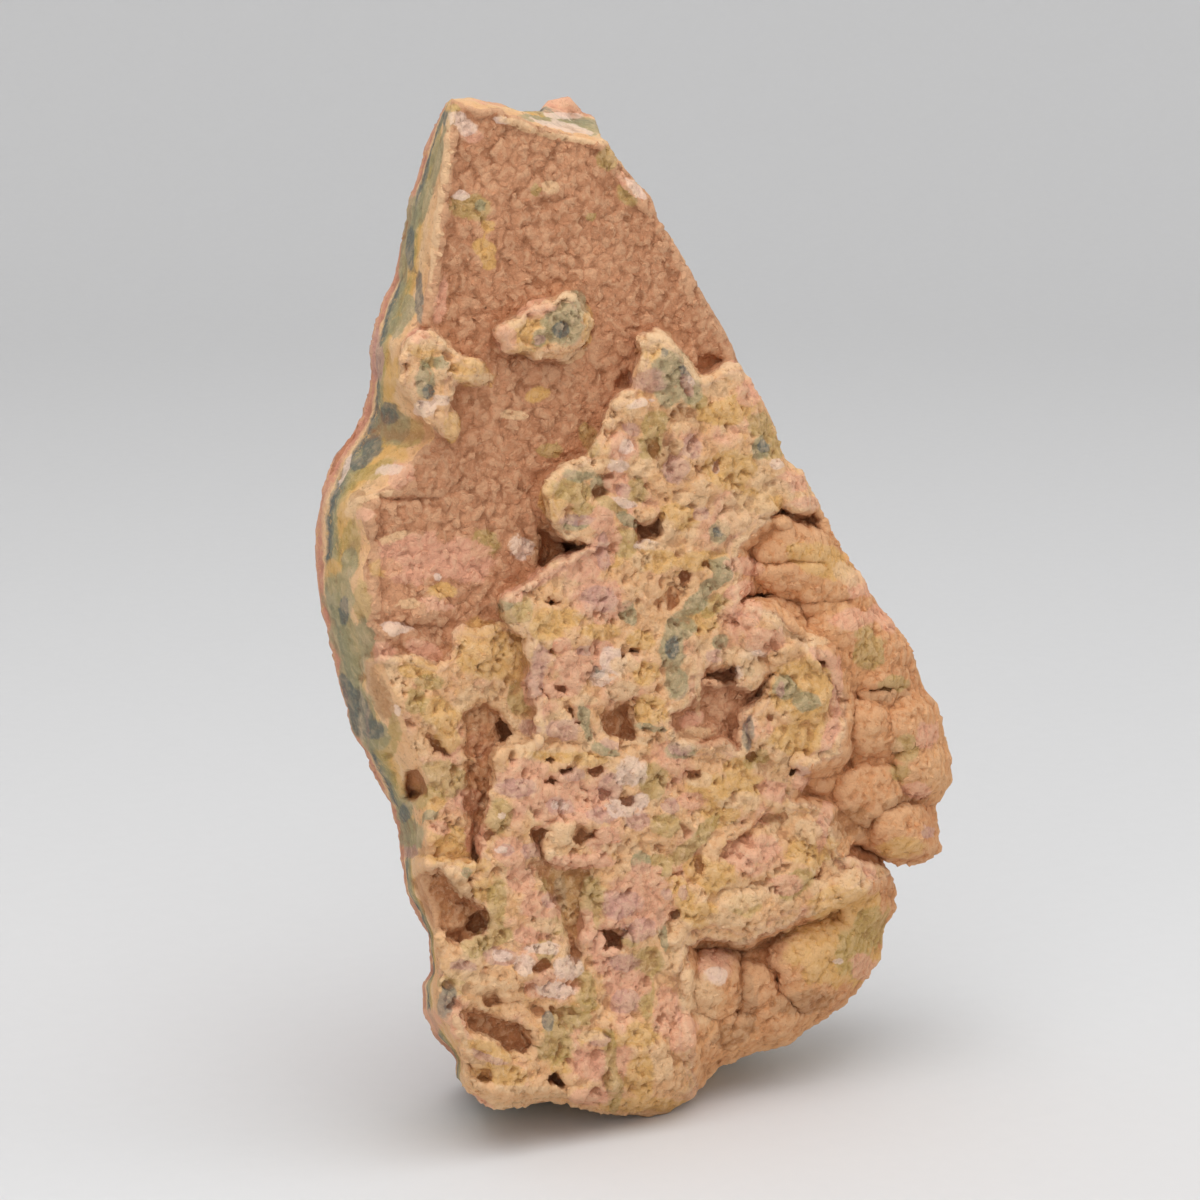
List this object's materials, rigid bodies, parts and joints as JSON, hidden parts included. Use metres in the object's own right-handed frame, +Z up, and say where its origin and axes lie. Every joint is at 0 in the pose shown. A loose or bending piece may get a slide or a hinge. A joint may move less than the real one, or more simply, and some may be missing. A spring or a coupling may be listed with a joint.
{
  "type": "rhodochrosite crust specimen",
  "caption": "Rough slab of rhodochrosite crust with a druse face, broken banded layers, pitted lobes and a lumpy back, standing on its lower end.",
  "frame": {"origin": "centre of the bounding box at the flat that the stone stands on", "axes": "+Z up along the standing slab's length, -Y the way the druse face looks, +Y the lumpy back"},
  "size_m": [0.1221, 0.0495, 0.181],
  "materials": {
    "stone": "rough crystalline"
  },
  "bodies": {
    "root": {"rhodochrosite": "stone"}
  },
  "joints": []
}
